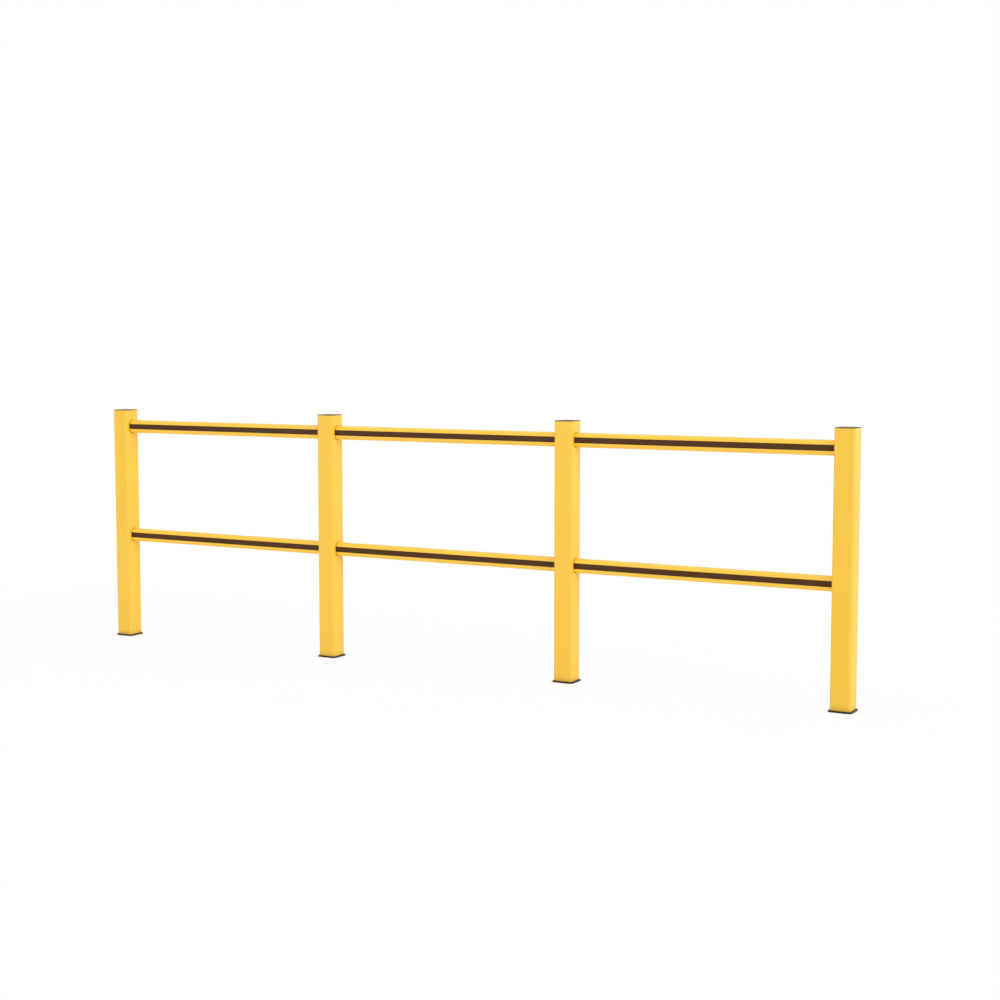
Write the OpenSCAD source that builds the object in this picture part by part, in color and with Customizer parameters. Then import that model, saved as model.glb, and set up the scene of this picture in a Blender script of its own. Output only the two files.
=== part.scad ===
// Flexible impact guardrail: square polymer posts, two oval rails in each bay, and a dark strip
// inlaid in the front and the back of every rail. A post slides over a steel spigot on a floor plate.
// X runs along the fence, -Y is its front and Z is up.
// The origin is the centre of the first floor plate's underside.

/* [Fence] */
// Number of bays
bays = 3; // [1:1:5]
// Distance between the centres of neighbouring posts
post_pitch = 1200; // [500:10:2000]
// Height from the floor to the top of the caps
fence_h = 1100; // [860:10:1500]

/* [Posts] */
// Outer width and depth of the square post tube
post_w = 84; // [66:1:120]
// Wall thickness of the post tube
post_wall = 5; // [3:0.5:7]
// Radius of the post tube's outer corners
post_corner_r = 10; // [7:0.5:18]

/* [Rails] */
// Height of the oval rail
rail_h = 61; // [60:1:90]
// Depth of the oval rail from its front to its back
rail_d = 38; // [37:0.5:56]
// Radius of the rail's four rounded shoulders
rail_shoulder_r = 17.5; // [12:0.5:18.5]
// Wall thickness of the rail
rail_wall = 4; // [3:0.5:5]
// Distance from the top of the caps down to the centre of the upper rail
upper_rail_drop = 82; // [60:1:200]
// Distance between the centres of the upper and the lower rail
rail_rise = 525; // [120:5:800]
// Gap between the ends of two rails inside a post
rail_end_gap = 10; // [2:1:30]
// Clearance round a rail in the opening of a post
rail_clear = 0.8; // [0.1:0.1:0.9]

/* [Inlaid strips] */
// Height of the groove's mouth in the face of the rail
strip_h = 23.5; // [12:0.5:25.5]
// Depth of the dovetail groove
groove_depth = 3; // [2:0.5:4]
// Widening of the groove from its mouth to its root, above and below
groove_undercut = 1.5; // [0.5:0.25:3]
// Thickness of the rail behind the groove
groove_web = 3.5; // [2:0.5:5]
// Depth of the strip's edges below the face of the rail
strip_recess = 1; // [0.5:0.1:1.5]
// Rise of the strip's crowned face between its edges
strip_crown = 0.5; // [0.1:0.1:0.8]
// Clearance between the strip and its groove
strip_clear = 0.1; // [0.05:0.05:0.4]

/* [Post caps] */
// Thickness of the cap's plate
cap_t = 4; // [3:0.5:8]
// Radius of the rounded edge round the cap's top
cap_edge_r = 1.5; // [0.5:0.25:2.5]
// Depth of the skirt inside the post
cap_skirt_h = 20; // [10:1:40]
// Wall thickness of the skirt
cap_skirt_wall = 3; // [2:0.5:5]
// Clearance between the skirt and the inside of the post
cap_clear = 0.3; // [0.2:0.1:1]
// Radius of the crush ribs on the skirt
cap_rib_r = 1.5; // [1:0.25:2.5]
// Clearance left between a crush rib and the inside of the post
cap_rib_clear = 0.1; // [0.05:0.05:0.2]
// Distance from the middle of a side of the skirt to each of its two crush ribs
cap_rib_offset = 20; // [8:1:28]

/* [Floor plates] */
// Thickness of the floor plate
plate_t = 6; // [5:1:15]
// Distance by which the plate reaches past the post on each side
plate_overhang = 6; // [4:0.5:30]
// Radius of the plate's corners
plate_corner_r = 16; // [8:0.5:18]
// Radius of the rounded edge round the plate's top
plate_edge_r = 1.5; // [0.5:0.25:3]
// Diameter of the anchor holes
anchor_d = 11; // [7:0.5:14]
// Distance from the centre of an anchor hole to the two nearest inner faces of the spigot
anchor_inset = 10.7; // [9:0.1:16]

/* [Spigots] */
// Height of the steel spigot above the floor plate
spigot_h = 160; // [80:5:400]
// Wall thickness of the spigot
spigot_wall = 4; // [3:0.5:5]
// Clearance between the spigot and the inside of the post
spigot_clear = 0.3; // [0.1:0.1:1]

/* [Hidden] */
$fn = 96;
// Segments of a full circle for the shallow arc of the strips
crown_fn = 1440;
// Length by which a cut runs past the face that it opens
cut_margin = 1;
// Smallest radius of a tube's inner corners
least_inner_r = 0.5;

posts = bays + 1;
post_inner_w = post_w - 2 * post_wall;
post_inner_r = post_corner_r - post_wall;
post_h = fence_h - cap_t - plate_t;
upper_rail_z = fence_h - upper_rail_drop;
lower_rail_z = upper_rail_z - rail_rise;
rail_len = post_pitch - rail_end_gap;
spigot_w = post_inner_w - 2 * spigot_clear;
anchor_spacing = spigot_w - 2 * spigot_wall - 2 * anchor_inset;
cap_skirt_w = post_inner_w - 2 * cap_clear;

yellow = "#F8C94C";
dark = "#4D3B2D";
black = "#2B2A28";
steel = "#3A3B3D";

function post_x(n) = (n - 1) * post_pitch;

// Half the height of the groove at a depth below the face of the rail
function groove_half_h(depth) = strip_h / 2 + groove_undercut * depth / groove_depth;

// Radius of the arc that rises by a given amount over a given half width
function arc_r(half_w, rise) = (half_w * half_w + rise * rise) / (2 * rise);

// A rectangle with round corners
module rounded_outline(w, h, r) {
    square([w - 2 * r, h], center = true);
    square([w, h - 2 * r], center = true);
    for (x = [-1, 1], y = [-1, 1])
        translate([x * (w / 2 - r), y * (h / 2 - r)]) circle(r);
}

// The section of a square tube, whose inner corners follow the outer ones as far as the wall lets them
module tube_section(w, r, wall) {
    difference() {
        rounded_outline(w, w, r);
        rounded_outline(w - 2 * wall, w - 2 * wall, max(r - wall, least_inner_r));
    }
}

// A section drawn in depth and height, extruded along the fence
module along_fence(length) {
    rotate([90, 0, 90]) linear_extrude(length) children();
}

// Half the section of a slab whose upper edge is rounded
module slab_edge_section(half_w, h, edge_r) {
    square([half_w - edge_r, h]);
    square([half_w, h - edge_r]);
    translate([half_w - edge_r, h - edge_r]) circle(edge_r);
}

// A square slab with round corners and a rounded upper edge
module slab(w, h, corner_r, edge_r) {
    straight = w - 2 * corner_r;
    for (x = [-1, 1], y = [-1, 1])
        translate([x * straight / 2, y * straight / 2, 0])
            rotate_extrude() slab_edge_section(corner_r, h, edge_r);
    for (turn = [0:90:270])
        rotate([0, 0, turn])
            translate([-straight / 2, 0, 0])
                along_fence(straight) slab_edge_section(w / 2, h, edge_r);
}

// The opening in one side of a post, as wide and high as the rail and its clearance
module rail_opening(side) {
    x = side > 0 ? post_w / 2 - post_wall - cut_margin : -post_w / 2 - cut_margin;
    translate([x, 0, 0])
        along_fence(post_wall + 2 * cut_margin)
            rounded_outline(
                rail_d + 2 * rail_clear,
                rail_h + 2 * rail_clear,
                rail_shoulder_r + rail_clear
            );
}

module post(n) {
    color(yellow)
        translate([post_x(n), 0, 0])
            difference() {
                translate([0, 0, plate_t])
                    linear_extrude(post_h) tube_section(post_w, post_corner_r, post_wall);
                for (z = [lower_rail_z, upper_rail_z])
                    translate([0, 0, z]) {
                        if (n > 1) rail_opening(-1);
                        if (n < posts) rail_opening(1);
                    }
            }
}

// One crush rib on each side of the skirt's middle, on all four sides
module crush_ribs() {
    reach = post_inner_w / 2 - cap_rib_clear;
    for (turn = [0:90:270], y = [-1, 1])
        rotate([0, 0, turn])
            translate([reach - cap_rib_r, y * cap_rib_offset, -cap_skirt_h])
                cylinder(h = cap_skirt_h, r = cap_rib_r);
}

module post_cap(n) {
    color(black)
        translate([post_x(n), 0, fence_h - cap_t]) {
            slab(post_w, cap_t, post_corner_r, cap_edge_r);
            translate([0, 0, -cap_skirt_h])
                linear_extrude(cap_skirt_h)
                    tube_section(cap_skirt_w, post_inner_r - cap_clear, cap_skirt_wall);
            crush_ribs();
        }
}

module base_plate(n) {
    color(steel)
        translate([post_x(n), 0, 0])
            difference() {
                slab(post_w + 2 * plate_overhang, plate_t, plate_corner_r, plate_edge_r);
                for (x = [-1, 1], y = [-1, 1])
                    translate([x * anchor_spacing / 2, y * anchor_spacing / 2, -cut_margin])
                        cylinder(h = plate_t + 2 * cut_margin, d = anchor_d);
            }
}

module base_spigot(n) {
    color(steel)
        translate([post_x(n), 0, plate_t])
            linear_extrude(spigot_h)
                tube_section(spigot_w, post_inner_r - spigot_clear, spigot_wall);
}

// The dovetail groove in the front (side -1) or the back (side 1) of the rail
module groove_section(side) {
    face = side * rail_d / 2;
    root = side * (rail_d / 2 - groove_depth);
    outside = side * (rail_d / 2 + cut_margin);
    mouth = groove_half_h(0);
    widest = groove_half_h(groove_depth);
    polygon([
        [root, -widest], [face, -mouth], [outside, -mouth],
        [outside, mouth], [face, mouth], [root, widest]
    ]);
}

// The thicker wall inside the rail that backs the two grooves
module groove_backing() {
    inner_face = rail_d / 2 - groove_depth - groove_web;
    backing_h = 2 * (groove_half_h(groove_depth) + groove_web);
    difference() {
        square([rail_d, backing_h], center = true);
        square([2 * inner_face, backing_h], center = true);
    }
}

module rail_section() {
    difference() {
        rounded_outline(rail_d, rail_h, rail_shoulder_r);
        difference() {
            rounded_outline(
                rail_d - 2 * rail_wall,
                rail_h - 2 * rail_wall,
                rail_shoulder_r - rail_wall
            );
            groove_backing();
        }
        groove_section(-1);
        groove_section(1);
    }
}

module rail(bay, z) {
    color(yellow)
        translate([post_x(bay) + rail_end_gap / 2, 0, z])
            along_fence(rail_len) rail_section();
}

// The strip fills its groove but for the clearance, and its face is a shallow arc
module strip_section(side) {
    back = side * (rail_d / 2 - groove_depth + strip_clear);
    face = side * rail_d / 2;
    back_half_h = groove_half_h(groove_depth - strip_clear) - strip_clear;
    face_half_h = groove_half_h(0) - strip_clear;
    crown_r = arc_r(groove_half_h(strip_recess) - strip_clear, strip_crown);
    crown_top = rail_d / 2 - strip_recess + strip_crown;
    intersection() {
        polygon([
            [back, -back_half_h], [face, -face_half_h],
            [face, face_half_h], [back, back_half_h]
        ]);
        translate([side * (crown_top - crown_r), 0]) circle(crown_r, $fn = crown_fn);
    }
}

module strip(bay, z, side) {
    color(dark)
        translate([post_x(bay) + rail_end_gap / 2, 0, z])
            along_fence(rail_len) strip_section(side);
}

for (n = [1:posts]) {
    post(n);
    post_cap(n);
    base_plate(n);
    base_spigot(n);
}
for (n = [1:bays]) {
    rail(n, upper_rail_z);
    strip(n, upper_rail_z, -1);
    strip(n, upper_rail_z, 1);
    rail(n, lower_rail_z);
    strip(n, lower_rail_z, -1);
    strip(n, lower_rail_z, 1);
}
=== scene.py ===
"""Fine meshes, finishes, studio and camera of a flexible impact guardrail.

X runs along the fence, -Y is its front and Z is up. Lengths are in metres and the origin is the centre of
the first floor plate's underside. Every piece takes its place and its overall size from the frame.
"""

import logging
import math
from collections.abc import Iterable, Sequence
from dataclasses import dataclass, replace
from enum import Enum
from typing import ClassVar

import bmesh
import bpy
from mathutils import Matrix, Vector
from mathutils.geometry import tessellate_polygon


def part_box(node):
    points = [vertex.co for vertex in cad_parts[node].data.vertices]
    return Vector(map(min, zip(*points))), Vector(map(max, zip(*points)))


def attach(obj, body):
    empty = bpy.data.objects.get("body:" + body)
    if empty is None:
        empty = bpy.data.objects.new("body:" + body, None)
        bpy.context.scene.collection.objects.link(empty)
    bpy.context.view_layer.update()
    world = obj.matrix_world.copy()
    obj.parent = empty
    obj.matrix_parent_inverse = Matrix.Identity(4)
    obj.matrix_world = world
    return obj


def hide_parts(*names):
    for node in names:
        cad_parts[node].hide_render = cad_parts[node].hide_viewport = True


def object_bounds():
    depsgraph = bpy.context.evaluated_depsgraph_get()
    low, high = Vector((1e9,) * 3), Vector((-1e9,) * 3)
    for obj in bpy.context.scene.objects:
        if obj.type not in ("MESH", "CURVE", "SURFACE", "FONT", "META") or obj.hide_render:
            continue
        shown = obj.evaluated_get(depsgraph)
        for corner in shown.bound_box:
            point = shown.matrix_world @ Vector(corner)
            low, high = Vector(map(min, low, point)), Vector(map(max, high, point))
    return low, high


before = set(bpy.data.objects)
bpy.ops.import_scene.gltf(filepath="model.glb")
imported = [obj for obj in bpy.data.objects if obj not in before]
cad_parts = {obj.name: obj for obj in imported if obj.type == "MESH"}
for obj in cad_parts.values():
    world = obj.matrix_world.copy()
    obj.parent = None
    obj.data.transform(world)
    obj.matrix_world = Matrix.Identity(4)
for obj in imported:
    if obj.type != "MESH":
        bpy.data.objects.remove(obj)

CAD_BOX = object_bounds()
ROOT = "root"
MM = 0.001
WELD_DISTANCE = 0.001 * MM
SHARP_ANGLE = math.radians(40)
# How much a large face outweighs a small one where they share a normal: 50 is neutral and 100 the most.
LARGE_FACE_WEIGHT = 90
PLASTIC_IOR = 1.50

Colour = tuple[float, float, float]
Span = tuple[float, float]
# The numbers of the points of a closed line in a mesh.
Loop = list[int]
# A point of an outline and the outward normal there.
Column = tuple[Vector, Vector]
Piece = bpy.types.Object

log = logging.getLogger("guardrail")


class Lay(Enum):
    """The direction in which a profile was extruded, as the axis that its fine lines follow."""

    ALONG_FENCE = 0
    UPRIGHT = 2


class Side(Enum):
    """A long side of the fence. The value is the sign of its outward direction along Y."""

    FRONT = -1
    BACK = 1


class Facing(Enum):
    """The end of the fence that a socket opens towards. The value is the sign of that direction along X."""

    FIRST_POST = -1
    LAST_POST = 1


class Level(Enum):
    """One of the two rails of a bay."""

    UPPER = "upper"
    LOWER = "lower"


class Value:
    """A socket of a shader tree, on which arithmetic adds Math nodes."""

    def __init__(self, graph: "Graph", socket: bpy.types.NodeSocket | None) -> None:
        """Keeps the tree and an output socket in it, or None for a node that has no output."""
        self.graph = graph
        self.socket = socket

    def other(self, name: str) -> "Value":
        """Another output of the same node."""
        return Value(self.graph, self.socket.node.outputs[name])

    def math(self, operation: str, *operands: "Value | float") -> "Value":
        """The result of a Math node on the operands, in their order."""
        return self.graph.add("ShaderNodeMath", {"operation": operation}, dict(enumerate(operands)))

    def __add__(self, other: "Value | float") -> "Value":
        """self + other."""
        return self.math("ADD", self, other)

    __radd__ = __add__

    def __sub__(self, other: "Value | float") -> "Value":
        """self - other."""
        return self.math("SUBTRACT", self, other)

    def __rsub__(self, other: float) -> "Value":
        """other - self."""
        return self.math("SUBTRACT", other, self)

    def __mul__(self, other: "Value | float") -> "Value":
        """self * other."""
        return self.math("MULTIPLY", self, other)

    __rmul__ = __mul__

    def swing(self) -> "Value":
        """self, which runs from 0 to 1, as a swing from -0.5 to 0.5."""
        return self - 0.5

    def larger(self, other: "Value | float") -> "Value":
        """The larger of self and other."""
        return self.math("MAXIMUM", self, other)

    def size(self) -> "Value":
        """self without its sign."""
        return self.math("ABSOLUTE", self)

    def from_multiple(self, of: float) -> "Value":
        """How far self is from the nearest whole multiple of a number, with its sign."""
        return self - self.math("ROUND", self * (1 / of)) * of

    def between(self, ends: Span) -> "Value":
        """The first of two ends where self is 0 and the second where it is 1."""
        return ends[0] + (ends[1] - ends[0]) * self

    def step(self, low: float, high: float) -> "Value":
        """Rises smoothly from 0 where self is low to 1 where it is high, or falls if low is above high."""
        inputs = {"Value": self, "From Min": low, "From Max": high}
        return self.graph.add("ShaderNodeMapRange", {"interpolation_type": "SMOOTHSTEP"}, inputs)


class Graph:
    """The node tree of one material or world."""

    # The sockets of a Mix node that mixes colours.
    MIX_FACTOR, MIX_FIRST, MIX_SECOND, MIX_RESULT = 0, 6, 7, 2

    def __init__(self, tree: bpy.types.NodeTree) -> None:
        """Empties the tree."""
        self.tree = tree
        tree.nodes.clear()

    def add(
        self,
        kind: str,
        settings: dict[str, object] | None = None,
        inputs: dict[int | str, object] | None = None,
        output: int | str = 0,
    ) -> Value:
        """Adds a node.

        Args:
            kind: The node's type.
            settings: Its own settings, which are made first.
            inputs: A value or a link for each of its sockets that isn't left as it is.
            output: The output that is returned.

        Returns:
            That output.
        """
        node = self.tree.nodes.new(kind)
        for name, setting in (settings or {}).items():
            setattr(node, name, setting)
        for name, fed in (inputs or {}).items():
            if isinstance(fed, Value):
                self.tree.links.new(fed.socket, node.inputs[name])
            else:
                node.inputs[name].default_value = fed
        outlet = node.outputs[output] if node.outputs else None
        return Value(self, outlet)

    def place(self) -> Value:
        """The point of the surface in the row frame."""
        return self.add("ShaderNodeTexCoord", output="Object")

    def axes(self, vector: Value) -> tuple[Value, Value, Value]:
        """The three numbers of a vector."""
        x = self.add("ShaderNodeSeparateXYZ", inputs={0: vector})
        return x, x.other("Y"), x.other("Z")

    def facing_up(self) -> Value:
        """1 where the surface faces up, 0 where it is upright and -1 where it faces down."""
        return self.axes(self.add("ShaderNodeNewGeometry", output="Normal"))[2]

    def noise(self, place: Value, size: float | Vector, detail: float = 2.0) -> Value:
        """Adds noise.

        Args:
            place: The point of the surface.
            size: About how large its blots are, as one length or one for each axis.
            detail: How many finer layers it has.

        Returns:
            The noise, from 0 to 1.
        """
        sizes = Vector((size,) * 3) if isinstance(size, (int, float)) else size
        per_metre = Vector(1 / length for length in sizes)
        scaled = self.add("ShaderNodeVectorMath", {"operation": "MULTIPLY"}, {0: place, 1: per_metre})
        return self.add("ShaderNodeTexNoise", inputs={"Vector": scaled, "Scale": 1.0, "Detail": detail})

    def scaled(self, colour: Colour, factor: Value) -> Value:
        """A colour times a number that varies over the surface."""
        inputs = {0: colour, "Scale": factor}
        return self.add("ShaderNodeVectorMath", {"operation": "SCALE"}, inputs)

    def mixed(self, factor: Value, first: "Value | Colour", second: "Value | Colour") -> Value:
        """Mixes two colours.

        Args:
            factor: The share of the second colour.
            first: The colour where factor is 0.
            second: The colour where factor is 1.

        Returns:
            The mixed colour.
        """
        sources = {self.MIX_FIRST: first, self.MIX_SECOND: second}
        inputs = {
            key: source if isinstance(source, Value) else (*source, 1.0) for key, source in sources.items()
        }
        inputs[self.MIX_FACTOR] = factor
        return self.add("ShaderNodeMix", {"data_type": "RGBA"}, inputs, self.MIX_RESULT)

    def bump(self, height: Value, depth: float = 1.0) -> Value:
        """The normal of a surface whose relief is height times depth."""
        return self.add("ShaderNodeBump", inputs={"Height": height, "Distance": depth, "Strength": 1.0})

    def surface(self, shader: Value, kind: str = "Material") -> None:
        """Makes the shader the tree's result."""
        self.add(f"ShaderNodeOutput{kind}", inputs={"Surface": shader})


def new_graph(name: str) -> tuple[bpy.types.Material, Graph]:
    """Makes a material.

    Args:
        name: Its name.

    Returns:
        The material and its empty tree.
    """
    material = bpy.data.materials.new(name)
    material.use_nodes = True
    return material, Graph(material.node_tree)


def blot_size(across: float, along: float, lay: Lay) -> Vector:
    """The size of a blot on each axis.

    Args:
        across: Its size across the extrusion.
        along: Its size along the extrusion.
        lay: The direction of the extrusion.

    Returns:
        One length for each axis.
    """
    size = Vector((across,) * 3)
    size[lay.value] = along
    return size


@dataclass(frozen=True)
class Polymer:
    """Satin polymer coloured through, with the fine lengthwise lines of its die and a little dust.

    Shade is painted dark brown into the mouths of the sockets, between a post and its rails, and into the
    seams at both ends of a post, and painted shade darkens the lowest part of a post. The box is that of the
    first post.
    """

    post_pitch: float
    post_box: tuple[Vector, Vector]
    colour: Colour = (0.90, 0.54, 0.035)
    dust: Colour = (0.80, 0.66, 0.36)
    roughness: float = 0.40
    line_width: float = 1.6 * MM
    line_length: float = 900 * MM
    line_relief: float = 0.07 * MM
    line_tone: float = 0.07
    line_roughness: float = 0.06
    cloud_size: float = 160 * MM
    cloud_stretch: float = 3.0
    cloud_tone: float = 0.04
    grain_size: float = 0.6 * MM
    grain_relief: float = 0.02 * MM
    rub_size: float = 25 * MM
    rub_stretch: float = 4.0
    rub_span: Span = (0.52, 0.72)
    rub_roughness: float = 0.10
    dust_cover: float = 0.25
    dust_span: Span = (0.30, 0.75)
    dust_slope: Span = (0.35, 0.95)
    dust_roughness: float = 0.2
    # Painted shade that darkens the lowest part of a post: a broad fade between the first two heights and a
    # stronger one below the fourth height.
    foot_height: float = 160 * MM
    foot_full: float = 53.3 * MM
    foot_shade_amount: float = 0.04
    contact_shade_height: float = 32 * MM
    contact_shade_amount: float = 0.17
    # The dark brown of the painted shade in the sockets' mouths and in the seams at a post's ends.
    shade_colour: Colour = (0.16, 0.075, 0.012)
    # Painted shade in the sockets' mouths: its most share, and the depths into the wall where it starts and
    # where it is full.
    mouth_shade_cover: float = 0.85
    mouth_shade_depth: float = 2.4 * MM
    mouth_shade_start: float = 0.5 * MM
    mouth_half_d: float = 24 * MM
    mouth_fade: float = 1 * MM
    # Painted shade in the seams at a post's ends, under its cap and over its floor plate: its height and its
    # most share.
    seam_height: float = 1.6 * MM
    seam_shade_cover: float = 0.80

    def _mouth_painted_shade(self, graph: Graph, place: Value) -> Value:
        """The cover of painted shade in the sockets' mouths, where the rail shades the eased mouth.

        Args:
            graph: The tree of the material.
            place: The point of the surface.

        Returns:
            The cover, from 0 at a post's face to its most a little deeper.
        """
        x, y, _ = graph.axes(place)
        low, high = self.post_box
        depth = (high.x - low.x) / 2 - x.from_multiple(self.post_pitch).size()
        between_faces = y.size().step(self.mouth_half_d + self.mouth_fade, self.mouth_half_d)
        return depth.step(self.mouth_shade_start, self.mouth_shade_depth) * between_faces * self.mouth_shade_cover

    def _seam_painted_shade(self, graph: Graph, place: Value) -> Value:
        """The cover of painted shade at a post's ends, in the seams under its cap and on its floor plate.

        Args:
            graph: The tree of the material.
            place: The point of the surface.

        Returns:
            The cover, which is most at the end itself.
        """
        low, high = self.post_box
        from_end = (high.z - low.z) / 2 - (graph.axes(place)[2] - (low.z + high.z) / 2).size()
        return from_end.step(self.seam_height, 0.0) * self.seam_shade_cover

    def material(self, lay: Lay) -> bpy.types.Material:
        """Makes the finish of an extruded profile.

        Args:
            lay: The direction of the extrusion.

        Returns:
            The material.
        """
        material, graph = new_graph(f"yellow_polymer_{lay.name.lower()}")
        place = graph.place()
        lines = graph.noise(place, blot_size(self.line_width, self.line_length, lay), detail=3)
        cloud = blot_size(self.cloud_size, self.cloud_stretch * self.cloud_size, lay)
        clouds = graph.noise(place, cloud, detail=3)
        grain = graph.noise(place, self.grain_size)
        rub = blot_size(self.rub_size, self.rub_stretch * self.rub_size, lay)
        rubs = graph.noise(place, rub, detail=4).step(*self.rub_span)
        height = graph.axes(place)[2]
        # Painted shade towards the floor.
        broad_foot_shade = self.foot_shade_amount * height.step(self.foot_height, self.foot_full)
        contact_foot_shade = self.contact_shade_amount * height.step(self.contact_shade_height, self.post_box[0].z)
        tone = 1 + self.line_tone * lines.swing() + self.cloud_tone * clouds.swing()
        toned = graph.scaled(self.colour, tone * (1 - broad_foot_shade - contact_foot_shade))
        settled = graph.facing_up().step(*self.dust_slope) * clouds.step(*self.dust_span) * self.dust_cover
        relief = lines * self.line_relief + grain * self.grain_relief
        dusty = graph.mixed(settled, toned, self.dust)
        # Painted shade in the sockets' mouths and the seams, whichever is more.
        painted_shade_share = self._mouth_painted_shade(graph, place).larger(self._seam_painted_shade(graph, place))
        roughness = self.roughness + self.line_roughness * lines.swing() + self.rub_roughness * rubs
        shader = graph.add("ShaderNodeBsdfPrincipled", inputs={
            "Base Color": graph.mixed(painted_shade_share, dusty, self.shade_colour),
            "Roughness": roughness + self.dust_roughness * settled,
            "IOR": PLASTIC_IOR,
            "Normal": graph.bump(relief),
        })
        graph.surface(shader)
        return material


@dataclass(frozen=True)
class StripCompound:
    """Dull dark compound of the inlaid strips, drawn with fine lengthwise lines."""

    colour: Colour = (0.070, 0.025, 0.006)
    bloom: Colour = (0.084, 0.035, 0.012)
    roughness: float = 0.50
    specular: float = 0.14
    line_width: float = 1.0 * MM
    line_length: float = 700 * MM
    line_relief: float = 0.08 * MM
    line_bloom: float = 0.3
    line_roughness: float = 0.12
    cloud_width: float = 15 * MM
    cloud_length: float = 60 * MM
    cloud_span: Span = (0.35, 0.80)
    cloud_bloom: float = 0.6
    cloud_roughness: float = 0.08
    grain_size: float = 0.8 * MM
    grain_relief: float = 0.02 * MM

    def material(self) -> bpy.types.Material:
        """Makes the finish of a strip along the fence.

        Returns:
            The material.
        """
        material, graph = new_graph("dark_strip")
        place = graph.place()
        lines = graph.noise(place, blot_size(self.line_width, self.line_length, Lay.ALONG_FENCE), detail=3)
        clouds = graph.noise(place, blot_size(self.cloud_width, self.cloud_length, Lay.ALONG_FENCE), detail=3)
        grain = graph.noise(place, self.grain_size)
        relief = lines * self.line_relief + grain * self.grain_relief
        bloomed = clouds.step(*self.cloud_span) * self.cloud_bloom + lines * self.line_bloom
        varied = self.line_roughness * lines.swing() + self.cloud_roughness * clouds.swing()
        shader = graph.add("ShaderNodeBsdfPrincipled", inputs={
            "Base Color": graph.mixed(bloomed, self.colour, self.bloom),
            "Roughness": self.roughness + varied,
            "IOR": PLASTIC_IOR,
            "Specular IOR Level": self.specular,
            "Normal": graph.bump(relief),
        })
        graph.surface(shader)
        return material


@dataclass(frozen=True)
class MouldedBlack:
    """Black moulded plastic with a fine eroded grain and a thin film of dust on top."""

    colour: Colour = (0.085, 0.060, 0.026)
    dust: Colour = (0.28, 0.22, 0.12)
    roughness: float = 0.48
    specular: float = 0.25
    grain_size: float = 0.9 * MM
    grain_relief: float = 0.05 * MM
    cloud_size: float = 20 * MM
    cloud_tones: Span = (0.8, 1.2)
    cloud_roughness: float = 0.10
    dust_cover: float = 0.26
    dust_span: Span = (0.35, 0.75)
    dust_slope: Span = (0.5, 1.0)
    dust_roughness: float = 0.4

    def material(self) -> bpy.types.Material:
        """Makes the finish of a cap.

        Returns:
            The material.
        """
        material, graph = new_graph("black_plastic")
        place = graph.place()
        grain = graph.noise(place, self.grain_size, detail=3)
        clouds = graph.noise(place, self.cloud_size, detail=4)
        settled = graph.facing_up().step(*self.dust_slope) * clouds.step(*self.dust_span) * self.dust_cover
        toned = graph.scaled(self.colour, clouds.between(self.cloud_tones))
        varied = self.cloud_roughness * clouds.swing() + self.dust_roughness * settled
        shader = graph.add("ShaderNodeBsdfPrincipled", inputs={
            "Base Color": graph.mixed(settled, toned, self.dust),
            "Roughness": self.roughness + varied,
            "IOR": PLASTIC_IOR,
            "Specular IOR Level": self.specular,
            "Normal": graph.bump(grain, self.grain_relief),
        })
        graph.surface(shader)
        return material


@dataclass(frozen=True)
class PowderCoat:
    """Black powder coat on steel, with the low waves of the melted powder and a few rubbed spots."""

    colour: Colour = (0.022, 0.014, 0.006)
    rubbed: Colour = (0.11, 0.090, 0.060)
    roughness: float = 0.46
    specular: float = 0.22
    wave_size: float = 2.2 * MM
    wave_relief: float = 0.06 * MM
    wave_tones: Span = (0.85, 1.15)
    wave_roughness: float = 0.08
    grain_size: float = 0.5 * MM
    grain_relief: float = 0.01 * MM
    spot_size: float = 5 * MM
    spot_span: Span = (0.66, 0.78)
    spot_cover: float = 0.5
    spot_roughness: float = 0.10

    def material(self) -> bpy.types.Material:
        """Makes the finish of the floor plates and spigots.

        Returns:
            The material.
        """
        material, graph = new_graph("coated_steel")
        place = graph.place()
        waves = graph.noise(place, self.wave_size, detail=1)
        grain = graph.noise(place, self.grain_size)
        spots = graph.noise(place, self.spot_size, detail=4).step(*self.spot_span)
        toned = graph.scaled(self.colour, waves.between(self.wave_tones))
        relief = waves * self.wave_relief + grain * self.grain_relief
        varied = self.wave_roughness * waves.swing() + self.spot_roughness * spots
        shader = graph.add("ShaderNodeBsdfPrincipled", inputs={
            "Base Color": graph.mixed(spots * self.spot_cover, toned, self.rubbed),
            "Roughness": self.roughness + varied,
            "IOR": PLASTIC_IOR,
            "Specular IOR Level": self.specular,
            "Normal": graph.bump(relief),
        })
        graph.surface(shader)
        return material


@dataclass(frozen=True)
class Corner:
    """A corner of a section and the radius that rounds it off."""

    x: float
    y: float
    radius: float = 0.0

    @property
    def point(self) -> Vector:
        """The corner before it is rounded."""
        return Vector((self.x, self.y))


def rounded_off(corners: Sequence[Corner], steps: int) -> list[Vector]:
    """The closed outline through some corners.

    Args:
        corners: The corners in their order round the outline.
        steps: The number of edges in the arc that rounds a corner.

    Returns:
        The points of the outline, with an arc that touches both sides at each corner that has a radius.
    """
    outline = []
    for i, corner in enumerate(corners):
        if corner.radius == 0:
            outline.append(corner.point)
            continue
        back = (corners[i - 1].point - corner.point).normalized()
        ahead = (corners[(i + 1) % len(corners)].point - corner.point).normalized()
        half = back.angle(ahead) / 2
        centre = corner.point + (back + ahead).normalized() * corner.radius / math.sin(half)
        touch = corner.radius / math.tan(half)
        start, end = (corner.point + way * touch - centre for way in (back, ahead))
        first = math.atan2(start.y, start.x)
        turn = (math.atan2(end.y, end.x) - first + math.pi) % math.tau - math.pi
        for k in range(steps + 1):
            angle = first + turn * k / steps
            outline.append(centre + corner.radius * Vector((math.cos(angle), math.sin(angle))))
    return outline


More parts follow.
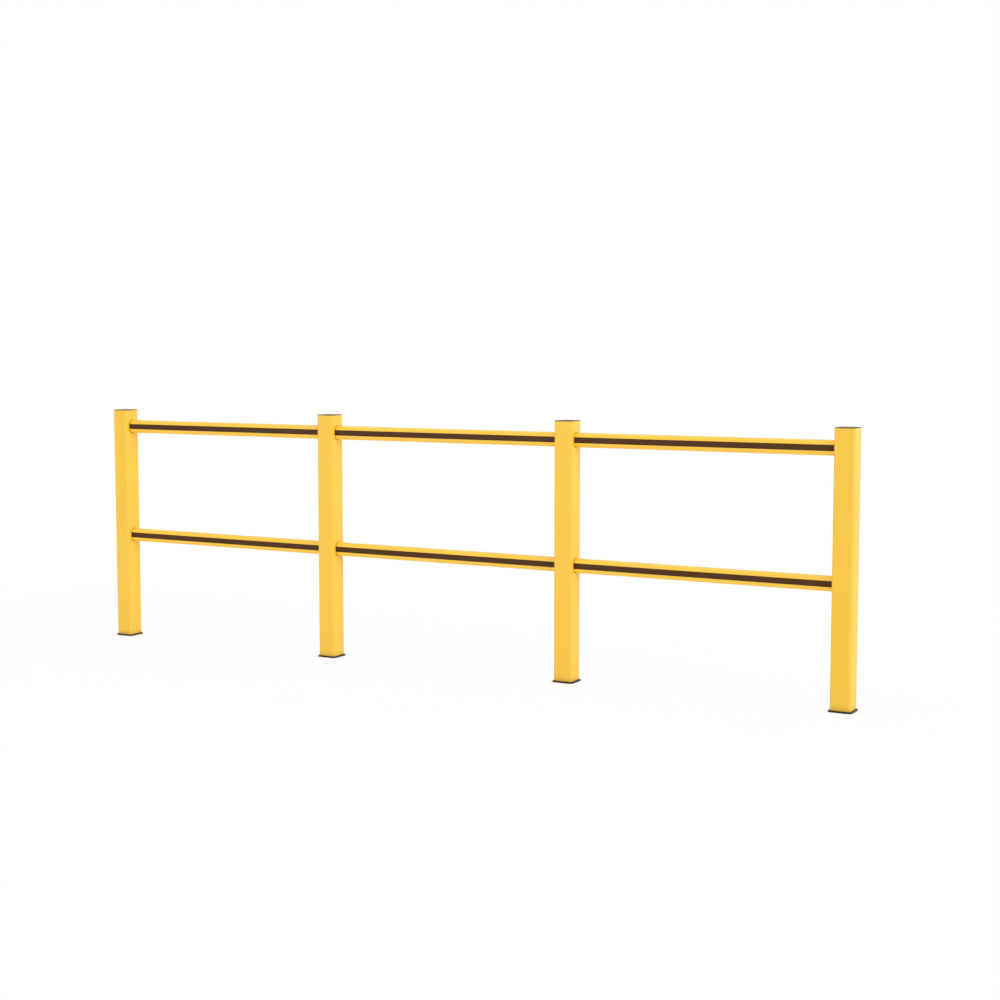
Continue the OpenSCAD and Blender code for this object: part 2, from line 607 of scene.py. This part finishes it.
@dataclass(frozen=True)
class RoundedRectangle:
    """The outline of a rectangle about the origin with round corners."""

    width: float
    height: float
    radius: float

    def grown(self, by: float) -> "RoundedRectangle":
        """The parallel outline at that distance outside."""
        return RoundedRectangle(self.width + 2 * by, self.height + 2 * by, self.radius + by)

    def reach(self, way: Vector) -> Vector:
        """The point where a ray from the origin meets the outline.

        Args:
            way: The ray's direction, of length 1.

        Returns:
            The point.
        """
        half_w, half_h = self.width / 2, self.height / 2
        x, y = abs(way.x), abs(way.y)
        if x * (half_h - self.radius) >= half_w * y:
            return way * (half_w / x)
        if y * (half_w - self.radius) >= half_h * x:
            return way * (half_h / y)
        centre = Vector((half_w - self.radius, half_h - self.radius))
        along = centre.dot(Vector((x, y)))
        return way * (along + math.sqrt(along**2 - centre.length_squared + self.radius**2))

    def columns(self, flat_steps: int, corner_steps: int) -> list[Column]:
        """Points round the outline of a square.

        Args:
            flat_steps: The number of edges in each flat side.
            corner_steps: The number of edges in each corner.

        Returns:
            Each point with its outward normal, from the lower end of the +X side anticlockwise.
        """
        half = self.width / 2
        flat = half - self.radius
        columns = []
        for side in range(4):
            turn = Matrix.Rotation(side * math.pi / 2, 2)
            for i in range(flat_steps):
                point = Vector((half, flat * (2 * i / flat_steps - 1)))
                columns.append((turn @ point, turn @ Vector((1, 0))))
            for i in range(corner_steps):
                angle = math.pi / 2 * i / corner_steps
                normal = Vector((math.cos(angle), math.sin(angle)))
                columns.append((turn @ (Vector((flat, flat)) + normal * self.radius), turn @ normal))
        return columns


def quarter_round(radius: float, steps: int) -> list[tuple[float, float]]:
    """An eased edge from the end face to the side: each point's distance from the side and the end face."""
    angles = (math.pi / 2 * k / steps for k in range(steps + 1))
    return [(radius * (1 - math.sin(angle)), radius * (1 - math.cos(angle))) for angle in angles]


class Solid:
    """A closed mesh under construction, in metres in the row frame."""

    def __init__(self) -> None:
        """Starts with no point and no face."""
        self.points: list[Vector] = []
        self.faces: list[Sequence[int]] = []

    def loop(self, points: Iterable[Vector]) -> Loop:
        """Adds a loop of points.

        Args:
            points: The points in their order.

        Returns:
            Their numbers.
        """
        first = len(self.points)
        self.points.extend(points)
        return list(range(first, len(self.points)))

    def band(self, first: Loop, second: Loop, skip: Iterable[int] = ()) -> None:
        """Joins two closed loops of as many points by quads.

        Args:
            first: The numbers of one loop's points.
            second: The numbers of the other's.
            skip: The edges of the loops that get no quad, by the number of their first point in the loop.
        """
        left_out = set(skip)
        for i in range(len(first)):
            if i not in left_out:
                j = (i + 1) % len(first)
                self.faces.append((first[i], first[j], second[j], second[i]))

    def fan(self, loop: Loop, tip: Vector) -> None:
        """Closes a loop by triangles to one point.

        Args:
            loop: The numbers of the loop's points.
            tip: The point, which is new.
        """
        (centre,) = self.loop([tip])
        for i in range(len(loop)):
            self.faces.append((loop[i], loop[(i + 1) % len(loop)], centre))

    def fill(self, *loops: Loop) -> None:
        """Fills a flat area.

        Args:
            loops: The numbers of the points round the area, and then of those round each hole in it.
        """
        numbers = [number for loop in loops for number in loop]
        for triangle in tessellate_polygon([[self.points[number] for number in loop] for loop in loops]):
            self.faces.append([numbers[i] for i in triangle])

    def rings(self, columns: Sequence[Column], centre: Vector, profile: Iterable[Span]) -> list[Loop]:
        """Adds the level rings of an upright profile.

        Args:
            columns: The points round the outline, each with its outward normal.
            centre: The X and Y of the outline's middle.
            profile: The inset from the outline and the height of each ring.

        Returns:
            The loop of each ring.
        """
        return [
            self.loop(Vector((*(centre + point - normal * inset), z)) for point, normal in columns)
            for inset, z in profile
        ]

    def extrude(
        self, outline: Sequence[Vector], start: float, end: float, centre: Vector
    ) -> tuple[Loop, Loop]:
        """Draws the walls of a section of depth and height that runs along the fence.

        Args:
            outline: The section's outline as points of Y and Z.
            start: The X of its one end.
            end: The X of its other end.
            centre: The Y and Z of the section's origin.

        Returns:
            The loops at both ends.
        """
        first, last = (self.loop(Vector((x, *(centre + point))) for point in outline) for x in (start, end))
        self.band(first, last)
        return first, last

    def piece(self, name: str, sharp_angle: float = SHARP_ANGLE) -> Piece:
        """Makes the object.

        Args:
            name: Its name.
            sharp_angle: The least angle at which an edge is drawn sharp.

        Returns:
            The object, with smooth faces that keep the flat sides flat.
        """
        mesh = bpy.data.meshes.new(name)
        work = bmesh.new()
        corners = [work.verts.new(point) for point in self.points]
        for face in self.faces:
            work.faces.new([corners[number] for number in face])
        bmesh.ops.remove_doubles(work, verts=work.verts, dist=WELD_DISTANCE)
        bmesh.ops.recalc_face_normals(work, faces=work.faces)
        work.to_mesh(mesh)
        work.free()
        mesh.shade_smooth()
        mesh.set_sharp_from_angle(angle=sharp_angle)
        made = bpy.data.objects.new(name, mesh)
        bpy.context.scene.collection.objects.link(made)
        flats = made.modifiers.new("keep_flats_flat", "WEIGHTED_NORMAL")
        flats.keep_sharp = True
        flats.weight = LARGE_FACE_WEIGHT
        return made


@dataclass(frozen=True)
class Shop:
    """The finishes that the pieces are dressed in, each made once."""

    # The rails' yellow, a brighter copy of the posts': painted light for the extra light on their rounded
    # faces.
    LIT_RAIL_YELLOW: ClassVar[Colour] = (0.94, 0.563, 0.040)

    post_polymer: bpy.types.Material
    rail_polymer: bpy.types.Material
    strip: bpy.types.Material
    cap: bpy.types.Material
    steel: bpy.types.Material

    @classmethod
    def stocked(cls) -> "Shop":
        """Makes every finish. The rails get a slightly brighter copy of the posts' polymer: painted light for
        the extra light on their rounded faces.

        Returns:
            The shop.
        """
        first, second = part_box("post_1"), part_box("post_2")
        polymer = Polymer(post_pitch=second[0].x - first[0].x, post_box=first)
        # Painted light: the rails' polymer is a brighter copy of the posts'.
        brighter_copy = replace(polymer, colour=cls.LIT_RAIL_YELLOW)
        return cls(
            post_polymer=polymer.material(Lay.UPRIGHT),
            rail_polymer=brighter_copy.material(Lay.ALONG_FENCE),
            strip=StripCompound().material(),
            cap=MouldedBlack().material(),
            steel=PowderCoat().material(),
        )


def mount(piece: Piece, node: str, finish: bpy.types.Material) -> Piece:
    """Puts a piece in the place of a frame node.

    Args:
        piece: The piece, already where the node is.
        node: The node that it stands for.
        finish: The material that it is dressed in.

    Returns:
        The piece.
    """
    piece.data.materials.append(finish)
    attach(piece, ROOT)
    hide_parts(node)
    return piece


def dress_node(node: str, finish: bpy.types.Material) -> Piece:
    """Gives a frame node whose shape stays a new finish.

    Args:
        node: The node.
        finish: The material that it is dressed in.

    Returns:
        The node's object.
    """
    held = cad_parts[node]
    held.data.materials.clear()
    held.data.materials.append(finish)
    return held


@dataclass(frozen=True)
class Socket:
    """An opening in the side of a post through which a rail enters."""

    facing: Facing
    height: float
    outline: RoundedRectangle


@dataclass(frozen=True)
class Cell:
    """A socket's part of the wall, as the rings of the outer and the inner face from the lowest up."""

    socket: Socket
    outer: Sequence[Loop]
    inner: Sequence[Loop]


@dataclass(frozen=True)
class Post:
    """A square polymer tube with the sockets of its rails."""

    number: int
    corner_r: float = 10 * MM
    wall: float = 5 * MM
    end_ease: float = 0.8 * MM
    mouth_ease: float = 3.0 * MM
    rail_clear: float = 0.8 * MM
    rail_shoulder_r: float = 17.5 * MM
    socket_margin: float = 12 * MM
    flat_steps: int = 16
    corner_steps: int = 10
    cell_steps: int = 22
    ease_steps: int = 4

    @property
    def node(self) -> str:
        """The name of the frame node."""
        return f"post_{self.number}"

    def sockets(self) -> list[Socket]:
        """Finds the sockets of this post from the rails that enter it.

        Returns:
            The sockets.
        """
        found = []
        for facing, bay in ((Facing.FIRST_POST, self.number - 1), (Facing.LAST_POST, self.number)):
            for level in Level:
                name = f"{level.value}_rail_{bay}"
                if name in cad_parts:
                    low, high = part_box(name)
                    rail = RoundedRectangle(high.y - low.y, high.z - low.z, self.rail_shoulder_r)
                    found.append(Socket(facing, (low.z + high.z) / 2, rail.grown(self.rail_clear)))
        return found

    def tube(self) -> Piece:
        """Makes the tube, whose walls are one grid of columns and levels with a cell out for each socket.

        Returns:
            The object.
        """
        low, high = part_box(self.node)
        centre = (low + high) / 2
        width = high.x - low.x
        columns = RoundedRectangle(width, width, self.corner_r).columns(self.flat_steps, self.corner_steps)
        sockets = self.sockets()
        heights = sorted({socket.height for socket in sockets})
        half_cell = sockets[0].outline.height / 2 + self.socket_margin
        levels = [
            height + half_cell * (2 * k / self.cell_steps - 1)
            for height in heights
            for k in range(self.cell_steps + 1)
        ]
        ease = quarter_round(self.end_ease, self.ease_steps)
        outside = [
            *((inset, low.z + rise) for inset, rise in ease),
            *((0.0, level) for level in levels),
            *((inset, high.z - rise) for inset, rise in reversed(ease)),
        ]
        inside = [(self.wall, z) for z in (high.z, *reversed(levels), low.z)]
        solid = Solid()
        rings = solid.rings(columns, centre.xy, [*outside, *inside])
        outer = rings[len(ease) : len(outside) - len(ease)]
        inner = rings[len(outside) + 1 : -1][::-1]
        cells = []
        for socket in sockets:
            first = heights.index(socket.height) * (self.cell_steps + 1)
            taken = slice(first, first + self.cell_steps + 1)
            cells.append(Cell(socket, outer[taken], inner[taken]))
        left_out = self._left_out(cells)
        for ring, following in zip(rings, [*rings[1:], rings[0]]):
            solid.band(ring, following, skip=left_out.get(frozenset((ring[0], following[0])), ()))
        for cell in cells:
            self._line_socket(solid, cell, centre, width / 2)
        return solid.piece(f"{self.node}_tube")

    def _flat_columns(self, facing: Facing) -> range:
        """The columns of the flat side towards one end of the fence, without the last."""
        first = 0 if facing is Facing.LAST_POST else 2 * (self.flat_steps + self.corner_steps)
        return range(first, first + self.flat_steps)

    def _left_out(self, cells: Sequence[Cell]) -> dict[frozenset[int], set[int]]:
        """Finds the quads of the walls that the sockets leave out.

        Args:
            cells: The sockets' cells.

        Returns:
            The columns left out between two rings, which the first points of the rings stand for.
        """
        left_out: dict[frozenset[int], set[int]] = {}
        for cell in cells:
            for wall in (cell.outer, cell.inner):
                for ring, following in zip(wall, wall[1:]):
                    between = frozenset((ring[0], following[0]))
                    left_out.setdefault(between, set()).update(self._flat_columns(cell.socket.facing))
        return left_out

    def _line_socket(self, solid: Solid, cell: Cell, centre: Vector, half_width: float) -> None:
        """Lines a socket, from its cell in the outer wall round the rail's outline to that in the inner wall.

        Args:
            solid: The tube's mesh.
            cell: The socket's cell.
            centre: The middle of the post.
            half_width: Half the width of the post.
        """
        socket = cell.socket
        flat = self._flat_columns(socket.facing)
        across = [*flat, flat[-1] + 1]
        outer_border, inner_border = (
            [
                *(wall[0][column] for column in across),
                *(ring[across[-1]] for ring in wall[1:-1]),
                *(wall[-1][column] for column in reversed(across)),
                *(ring[across[0]] for ring in reversed(wall[1:-1])),
            ]
            for wall in (cell.outer, cell.inner)
        )
        middle = Vector((centre.y, socket.height))
        ways = [(solid.points[number].yz - middle).normalized() for number in outer_border]
        rings = [outer_border]
        for offset, depth in [*quarter_round(self.mouth_ease, self.ease_steps), (0.0, self.wall)]:
            outline = socket.outline.grown(offset)
            x = centre.x + socket.facing.value * (half_width - depth)
            rings.append(solid.loop(Vector((x, *(middle + outline.reach(way)))) for way in ways))
        rings.append(inner_border)
        for ring, following in zip(rings, rings[1:]):
            solid.band(ring, following)

    def build(self, shop: Shop) -> list[Piece]:
        """Makes the tube and puts it in its place."""
        return [mount(self.tube(), self.node, shop.post_polymer)]


@dataclass(frozen=True)
class PostCap:
    """A moulded cap: a plate with a rounded edge and a slight crown, and a skirt inside the post."""

    number: int
    corner_r: float = 10 * MM
    plate: float = 4 * MM
    edge_r: float = 1.5 * MM
    lower_ease: float = 0.4 * MM
    crown: float = 1.5 * MM
    skirt_inset: float = 5.3 * MM
    skirt_wall: float = 3 * MM
    flat_steps: int = 6
    corner_steps: int = 8
    ease_steps: int = 5
    crown_steps: int = 6

    @property
    def node(self) -> str:
        """The name of the frame node."""
        return f"post_cap_{self.number}"

    def lid(self) -> Piece:
        """Makes the cap as rings round one closed profile, from the top's middle to the inside of the skirt.

        Returns:
            The object.
        """
        low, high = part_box(self.node)
        centre = (low + high) / 2
        width = high.x - low.x
        columns = RoundedRectangle(width, width, self.corner_r).columns(self.flat_steps, self.corner_steps)
        edge_top = high.z - self.crown
        underside = high.z - self.plate
        edge = [(inset, edge_top - drop) for inset, drop in quarter_round(self.edge_r, self.ease_steps)]
        lower = [(inset, underside + rise) for inset, rise in quarter_round(self.lower_ease, self.ease_steps)]
        profile = [
            *edge,
            *reversed(lower),
            (self.skirt_inset, underside),
            (self.skirt_inset, low.z),
            (self.skirt_inset + self.skirt_wall, low.z),
            (self.skirt_inset + self.skirt_wall, underside),
        ]
        solid = Solid()
        rings = solid.rings(columns, centre.xy, profile)
        for ring, following in zip(rings, rings[1:]):
            solid.band(ring, following)
        solid.fill(rings[-1])
        rim = [solid.points[number].xy for number in rings[0]]
        top = rings[0]
        for k in range(1, self.crown_steps):
            share = 1 - k / self.crown_steps
            z = high.z - self.crown * share**2
            inner = solid.loop(Vector((*centre.xy.lerp(point, share), z)) for point in rim)
            solid.band(top, inner)
            top = inner
        solid.fan(top, Vector((*centre.xy, high.z)))
        return solid.piece(f"{self.node}_lid")

    def build(self, shop: Shop) -> list[Piece]:
        """Makes the lid and puts it in its place."""
        return [mount(self.lid(), self.node, shop.cap)]


@dataclass(frozen=True)
class Foot:
    """A floor plate and the spigot on it, whose shapes are those of the frame."""

    number: int

    def build(self, shop: Shop) -> list[Piece]:
        """Dresses both nodes in coated steel."""
        return [dress_node(f"{part}_{self.number}", shop.steel) for part in ("base_plate", "base_spigot")]


@dataclass(frozen=True)
class Groove:
    """The dovetail groove in a face of the rail."""

    mouth_h: float = 23.5 * MM
    depth: float = 3 * MM
    undercut: float = 1.5 * MM
    lip_r: float = 0.5 * MM
    root_r: float = 0.3 * MM

    def half_height(self, depth: float) -> float:
        """Half the height of the groove at a depth below the face."""
        return self.mouth_h / 2 + self.undercut * depth / self.depth


@dataclass(frozen=True)
class Rail:
    """An oval polymer tube with a dovetail groove in its front and its back."""

    bay: int
    level: Level
    groove: Groove = Groove()
    shoulder_r: float = 17.5 * MM
    wall: float = 4 * MM
    hollow_r: float = 9 * MM
    web: float = 3.5 * MM
    sharp_angle: float = math.radians(35)
    arc_steps: int = 14

    @property
    def node(self) -> str:
        """The name of the frame node."""
        return f"{self.level.value}_rail_{self.bay}"

    def outline(self, half_d: float, half_h: float) -> list[Vector]:
        """The outer outline of the section.

        Args:
            half_d: Half the depth of the rail.
            half_h: Half its height.

        Returns:
            The points of the outline.
        """
        mouth = self.groove.half_height(0.0)
        root = self.groove.half_height(self.groove.depth)
        floor = half_d - self.groove.depth
        quarter = [
            Corner(half_d, half_h, self.shoulder_r),
            Corner(half_d, mouth, self.groove.lip_r),
            Corner(floor, root, self.groove.root_r),
        ]
        return rounded_off(four_fold(quarter), self.arc_steps)

    def hollow(self, half_d: float, half_h: float) -> list[Vector]:
        """The inner outline of the section, which is narrower behind the grooves.

        Args:
            half_d: Half the depth of the rail.
            half_h: Half its height.

        Returns:
            The points of the outline.
        """
        backing = self.groove.half_height(self.groove.depth) + self.web
        side = half_d - self.wall
        web_face = half_d - self.groove.depth - self.web
        quarter = [
            Corner(side, half_h - self.wall, self.hollow_r),
            Corner(side, backing),
            Corner(web_face, backing, self.groove.root_r),
        ]
        return rounded_off(four_fold(quarter), self.arc_steps)

    def tube(self) -> Piece:
        """Makes the rail from end to end, with its ends inside the posts.

        Returns:
            The object.
        """
        low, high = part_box(self.node)
        centre = (low + high) / 2
        half = (high - low) / 2
        solid = Solid()
        sections = (self.outline(half.y, half.z), self.hollow(half.y, half.z))
        walls = [solid.extrude(section, low.x, high.x, centre.yz) for section in sections]
        for end in zip(*walls):
            solid.fill(*end)
        return solid.piece(f"{self.node}_tube", self.sharp_angle)

    def build(self, shop: Shop) -> list[Piece]:
        """Makes the tube and its two strips and puts them in their places."""
        rail = mount(self.tube(), self.node, shop.rail_polymer)
        return [rail, *(Strip(self, side).build(shop) for side in Side)]


def four_fold(quarter: Sequence[Corner]) -> list[Corner]:
    """Mirrors the corners of the first quadrant, given from the Y axis down to the X axis, into all four."""
    right = [*quarter, *(Corner(c.x, -c.y, c.radius) for c in reversed(quarter))]
    return [*right, *(Corner(-c.x, -c.y, c.radius) for c in right)]


@dataclass(frozen=True)
class Strip:
    """A dark strip that fills the groove in one face of a rail, with a shallow crowned face."""

    rail: Rail
    side: Side
    recess: float = 1.0 * MM
    crown: float = 0.5 * MM
    clear: float = 0.1 * MM
    edge_r: float = 0.4 * MM
    crown_steps: int = 12
    edge_steps: int = 4

    def section(self, half_d: float) -> list[Vector]:
        """The outline of the section, with the crowned face outwards.

        Args:
            half_d: Half the depth of the rail.

        Returns:
            The points of the outline.
        """
        groove = self.rail.groove
        back = half_d - groove.depth + self.clear
        back_half_h = groove.half_height(groove.depth - self.clear) - self.clear
        face = half_d - self.recess
        face_half_h = groove.half_height(self.recess) - self.clear
        crown = [
            Corner(face + self.crown * (1 - share**2), -face_half_h * share)
            for share in (2 * k / self.crown_steps - 1 for k in range(1, self.crown_steps))
        ]
        corners = [
            Corner(back, back_half_h, self.edge_r),
            Corner(face, face_half_h, self.edge_r),
            *crown,
            Corner(face, -face_half_h, self.edge_r),
            Corner(back, -back_half_h, self.edge_r),
        ]
        outline = rounded_off(corners, self.edge_steps)
        return [Vector((self.side.value * point.x, point.y)) for point in outline]

    def build(self, shop: Shop) -> Piece:
        """Makes the strip and puts it in its place.

        Args:
            shop: The finishes.

        Returns:
            The object.
        """
        level, bay = self.rail.level.value, self.rail.bay
        node = f"{level}_stripe_{self.side.name.lower()}_{bay}"
        low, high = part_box(node)
        rail_low, rail_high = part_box(self.rail.node)
        centre = (rail_low + rail_high) / 2
        solid = Solid()
        ends = solid.extrude(self.section((rail_high.y - rail_low.y) / 2), low.x, high.x, centre.yz)
        for end in ends:
            solid.fill(end)
        return mount(solid.piece(f"{node}_inlay"), node, shop.strip)


@dataclass(frozen=True)
class Lamp:
    """A large soft lamp."""

    name: str
    stand: Vector
    width: float
    height: float
    power: float

    def light(self, aim: Vector) -> None:
        """Makes the lamp.

        Args:
            aim: The point that it shines at.
        """
        data = bpy.data.lights.new(self.name, "AREA")
        data.shape = "RECTANGLE"
        data.size, data.size_y = self.width, self.height
        data.energy = self.power
        lamp = bpy.data.objects.new(self.name, data)
        lamp.location = self.stand
        lamp.rotation_euler = (aim - self.stand).to_track_quat("-Z", "Y").to_euler()
        bpy.context.scene.collection.objects.link(lamp)


@dataclass(frozen=True)
class Studio:
    """A pale seamless floor in white surroundings, with soft light from all sides."""

    floor_size: float = 60.0
    floor_colour: Colour = (0.95, 0.95, 0.95)
    floor_white: float = 0.88
    fade_start: float = 0.4
    fade_end: float = 1.6
    contact_reach: float = 20 * MM
    ambient: float = 0.725
    middle: Vector = Vector((1.8, 0.0, 0.6))
    lamps: tuple[Lamp, ...] = (
        Lamp("key_lamp", stand=Vector((20.0, -5.0, 8.7)), width=10.0, height=10.0, power=1430.0),
        Lamp("fill_lamp", stand=Vector((-0.8, -6.0, 1.4)), width=4.0, height=3.0, power=52.0),
        Lamp("top_lamp", stand=Vector((1.8, 0.0, 5.0)), width=6.0, height=4.0, power=53.0),
        Lamp("rear_lamp", stand=Vector((8.0, 10.0, 3.0)), width=6.0, height=4.0, power=110.0),
    )

    def _seen(self, graph: Graph) -> Value:
        """1 for a ray from the camera, off a glossy surface or through a clear one, else 0."""
        path = graph.add("ShaderNodeLightPath", output="Is Camera Ray")
        return path.larger(path.other("Is Glossy Ray")).larger(path.other("Is Transmission Ray"))

    def _whiteness(self, graph: Graph) -> Value:
        """The share of plain white in the floor.

        Args:
            graph: The tree of the floor's material.

        Returns:
            The share, which is 0 where a plate touches the floor, most of it beside the plate and 1 far away.
        """
        x, y, _ = graph.axes(graph.place())
        half_length = (CAD_BOX[1].x - CAD_BOX[0].x) / 2
        past_the_end = (x - self.middle.x).size() - half_length
        away = past_the_end.larger(y.size()).step(self.fade_start, self.fade_end)
        (first, end), (second, _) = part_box("base_plate_1"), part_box("base_plate_2")
        from_post = x.from_multiple(second.x - first.x).size().larger(y.size())
        from_plate = (from_post - (end.x - first.x) / 2).larger(past_the_end)
        beside = from_plate.step(0.0, self.contact_reach)
        return beside * (self.floor_white + (1 - self.floor_white) * away)

    def floor(self) -> None:
        """Lays the floor, which looks white but for the object's shadow."""
        half = self.floor_size / 2
        solid = Solid()
        corners = ((-half, -half), (half, -half), (half, half), (-half, half))
        solid.fill(solid.loop(Vector((*(self.middle.xy + Vector(corner)), 0.0)) for corner in corners))
        material, graph = new_graph("studio_floor")
        paint = graph.add("ShaderNodeBsdfDiffuse", inputs={"Color": (*self.floor_colour, 1.0)})
        glow = graph.add("ShaderNodeEmission", inputs={"Strength": 1.0})
        factor = self._seen(graph) * self._whiteness(graph)
        graph.surface(graph.add("ShaderNodeMixShader", inputs={0: factor, 1: paint, 2: glow}))
        floor = solid.piece("studio_floor")
        floor.data.materials.append(material)

    def surroundings(self) -> None:
        """Surrounds the scene with even light, seen as plain white."""
        world = bpy.data.worlds.new("studio_surroundings")
        world.use_nodes = True
        bpy.context.scene.world = world
        graph = Graph(world.node_tree)
        strength = self.ambient + self._seen(graph) * (1 - self.ambient)
        shader = graph.add("ShaderNodeBackground", inputs={"Color": (1, 1, 1, 1), "Strength": strength})
        graph.surface(shader, "World")

    def build(self) -> None:
        """Makes the floor, the surroundings and the lamps."""
        self.floor()
        self.surroundings()
        for lamp in self.lamps:
            lamp.light(self.middle)
        bpy.context.scene.view_settings.view_transform = "Standard"


@dataclass(frozen=True)
class Viewpoint:
    """The photograph's camera, fitted to the edges of the posts and the ends of the rails."""

    stand: Vector = Vector((5.6330, -6.3265, 1.4146))
    heading: float = math.radians(29.331)
    dip: float = math.radians(5.220)
    lens_mm: float = 61.52
    sensor_mm: float = 36.0

    def build(self) -> None:
        """Makes the camera and looks through it."""
        data = bpy.data.cameras.new("viewpoint")
        data.lens = self.lens_mm
        data.sensor_width = self.sensor_mm
        camera = bpy.data.objects.new("viewpoint", data)
        camera.location = self.stand
        camera.rotation_euler = (math.pi / 2 - self.dip, 0.0, self.heading)
        bpy.context.scene.collection.objects.link(camera)
        bpy.context.scene.camera = camera


def count_nodes(stem: str) -> int:
    """The number of frame nodes that are called stem and a number."""
    return sum(name.startswith(stem) and name.removeprefix(stem).isdigit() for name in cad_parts)


def main() -> None:
    """Sets up the camera and the studio, and builds the guardrail post by post and bay by bay."""
    logging.basicConfig(level=logging.INFO, format="%(name)s: %(message)s")
    Viewpoint().build()
    Studio().build()
    shop = Shop.stocked()
    posts = range(1, count_nodes("post_") + 1)
    bays = range(1, count_nodes("upper_rail_") + 1)
    parts = [
        *(kind(number) for number in posts for kind in (Post, PostCap, Foot)),
        *(Rail(bay, level) for bay in bays for level in Level),
    ]
    for part in parts:
        for piece in part.build(shop):
            mesh = piece.data
            log.info("%s: %d faces in %s", piece.name, len(mesh.polygons), mesh.materials[0].name)


if __name__ == "__main__":
    main()
